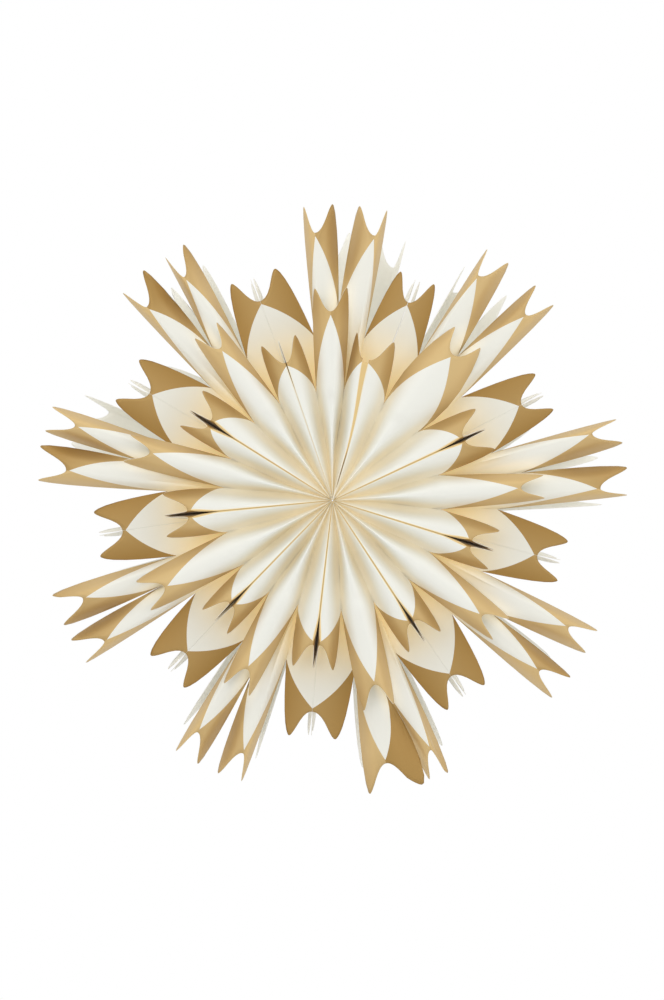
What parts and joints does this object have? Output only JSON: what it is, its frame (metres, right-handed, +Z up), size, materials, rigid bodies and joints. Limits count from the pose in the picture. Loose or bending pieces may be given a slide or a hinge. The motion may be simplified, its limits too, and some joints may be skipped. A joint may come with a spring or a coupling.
{
  "type": "folding paper star",
  "caption": "Fold-flat paper star with creased petals round one centre line, a rosette on each face and gold-printed cut edges.",
  "frame": {"origin": "centre of the star, on the centre line that its petals stand round, halfway between front and rear", "axes": "front faces -Y, +Z up as the star hangs, the closing walls 21 degrees clockwise of the top, +X to the right seen from the front"},
  "size_m": [0.5979, 0.2242, 0.5975],
  "materials": {
    "printed_paper": "pearl white paper, satin, with a metallic gold band printed along the cut edge; inside unprinted",
    "plain_paper": "white uncoated paper",
    "hook_tape": "white woven hook tape",
    "loop_tape": "white brushed loop tape"
  },
  "bodies": {
    "leaf_0": {"petal_1_left_wall": "plain_paper", "petal_1_front_gusset": "printed_paper", "petal_1_rear_gusset": "printed_paper", "petal_1_front_rosette": "printed_paper", "petal_1_rear_rosette": "printed_paper", "hook_dots": "hook_tape"},
    "leaf_1": {"petal_1_right_wall": "plain_paper", "petal_2_left_wall": "plain_paper", "petal_2_front_gusset": "printed_paper", "petal_2_rear_gusset": "printed_paper", "petal_2_front_rosette": "printed_paper", "petal_2_rear_rosette": "printed_paper"},
    "leaf_2": {"petal_2_right_wall": "plain_paper", "petal_3_left_wall": "plain_paper", "petal_3_front_gusset": "printed_paper", "petal_3_rear_gusset": "printed_paper", "petal_3_front_rosette": "printed_paper", "petal_3_rear_rosette": "printed_paper"},
    "leaf_3": {"petal_3_right_wall": "plain_paper", "petal_4_left_wall": "plain_paper", "petal_4_front_gusset": "printed_paper", "petal_4_rear_gusset": "printed_paper", "petal_4_front_rosette": "printed_paper", "petal_4_rear_rosette": "printed_paper"},
    "leaf_4": {"petal_4_right_wall": "plain_paper", "petal_5_left_wall": "plain_paper", "petal_5_front_gusset": "printed_paper", "petal_5_rear_gusset": "printed_paper", "petal_5_front_rosette": "printed_paper", "petal_5_rear_rosette": "printed_paper"},
    "leaf_5": {"petal_5_right_wall": "plain_paper", "petal_6_left_wall": "plain_paper", "petal_6_front_gusset": "printed_paper", "petal_6_rear_gusset": "printed_paper", "petal_6_front_rosette": "printed_paper", "petal_6_rear_rosette": "printed_paper"},
    "leaf_6": {"petal_6_right_wall": "plain_paper", "petal_7_left_wall": "plain_paper", "petal_7_front_gusset": "printed_paper", "petal_7_rear_gusset": "printed_paper", "petal_7_front_rosette": "printed_paper", "petal_7_rear_rosette": "printed_paper"},
    "leaf_7": {"petal_7_right_wall": "plain_paper", "petal_8_left_wall": "plain_paper", "petal_8_front_gusset": "printed_paper", "petal_8_rear_gusset": "printed_paper", "petal_8_front_rosette": "printed_paper", "petal_8_rear_rosette": "printed_paper"},
    "leaf_8": {"petal_8_right_wall": "plain_paper", "petal_9_left_wall": "plain_paper", "petal_9_front_gusset": "printed_paper", "petal_9_rear_gusset": "printed_paper", "petal_9_front_rosette": "printed_paper", "petal_9_rear_rosette": "printed_paper"},
    "leaf_9": {"petal_9_right_wall": "plain_paper", "loop_dots": "loop_tape"}
  },
  "joints": [
    {"name": "petal_1_fold", "type": "hinge", "parent": "leaf_0", "child": "leaf_1", "pos_m": [0.00263, 0, 0.0029], "axis": [0, -1, 0], "range_deg": [0, 41], "deforming": ["petal_1_front_gusset", "petal_1_rear_gusset", "petal_1_front_rosette", "petal_1_rear_rosette"]},
    {"name": "petal_2_fold", "type": "hinge", "parent": "leaf_1", "child": "leaf_2", "pos_m": [0.0039, 0, 0.0004], "axis": [0, -1, 0], "range_deg": [0, 40.93], "deforming": ["petal_2_front_gusset", "petal_2_rear_gusset", "petal_2_front_rosette", "petal_2_rear_rosette"]},
    {"name": "petal_3_fold", "type": "hinge", "parent": "leaf_2", "child": "leaf_3", "pos_m": [0.00326, 0, -0.00233], "axis": [0, -1, 0], "range_deg": [0, 40], "deforming": ["petal_3_front_gusset", "petal_3_rear_gusset", "petal_3_front_rosette", "petal_3_rear_rosette"]},
    {"name": "petal_4_fold", "type": "hinge", "parent": "leaf_3", "child": "leaf_4", "pos_m": [0.00102, 0, -0.00401], "axis": [0, -1, 0], "range_deg": [0, 38.64], "deforming": ["petal_4_front_gusset", "petal_4_rear_gusset", "petal_4_front_rosette", "petal_4_rear_rosette"]},
    {"name": "petal_5_fold", "type": "hinge", "parent": "leaf_4", "child": "leaf_5", "pos_m": [-0.00178, 0, -0.00387], "axis": [0, -1, 0], "range_deg": [0, 37.49], "deforming": ["petal_5_front_gusset", "petal_5_rear_gusset", "petal_5_front_rosette", "petal_5_rear_rosette"]},
    {"name": "petal_6_fold", "type": "hinge", "parent": "leaf_5", "child": "leaf_6", "pos_m": [-0.00383, 0, -0.00197], "axis": [0, -1, 0], "range_deg": [0, 37.09], "deforming": ["petal_6_front_gusset", "petal_6_rear_gusset", "petal_6_front_rosette", "petal_6_rear_rosette"]},
    {"name": "petal_7_fold", "type": "hinge", "parent": "leaf_6", "child": "leaf_7", "pos_m": [-0.00417, 0, 0.00082], "axis": [0, -1, 0], "range_deg": [0, 37.62], "deforming": ["petal_7_front_gusset", "petal_7_rear_gusset", "petal_7_front_rosette", "petal_7_rear_rosette"]},
    {"name": "petal_8_fold", "type": "hinge", "parent": "leaf_7", "child": "leaf_8", "pos_m": [-0.00264, 0, 0.00316], "axis": [0, -1, 0], "range_deg": [0, 38.84], "deforming": ["petal_8_front_gusset", "petal_8_rear_gusset", "petal_8_front_rosette", "petal_8_rear_rosette"]},
    {"name": "petal_9_fold", "type": "hinge", "parent": "leaf_8", "child": "leaf_9", "pos_m": [0.00004, 0, 0.00399], "axis": [0, -1, 0], "range_deg": [0, 40.18], "deforming": ["petal_9_front_gusset", "petal_9_rear_gusset", "petal_9_front_rosette", "petal_9_rear_rosette"]}
  ],
  "couplings": [
    {"joint": "petal_2_fold", "follows": "petal_1_fold", "ratio": 0.99825},
    {"joint": "petal_3_fold", "follows": "petal_1_fold", "ratio": 0.97544},
    {"joint": "petal_4_fold", "follows": "petal_1_fold", "ratio": 0.94223},
    {"joint": "petal_5_fold", "follows": "petal_1_fold", "ratio": 0.91418},
    {"joint": "petal_6_fold", "follows": "petal_1_fold", "ratio": 0.9044},
    {"joint": "petal_7_fold", "follows": "petal_1_fold", "ratio": 0.91747},
    {"joint": "petal_8_fold", "follows": "petal_1_fold", "ratio": 0.94727},
    {"joint": "petal_9_fold", "follows": "petal_1_fold", "ratio": 0.97987}
  ]
}
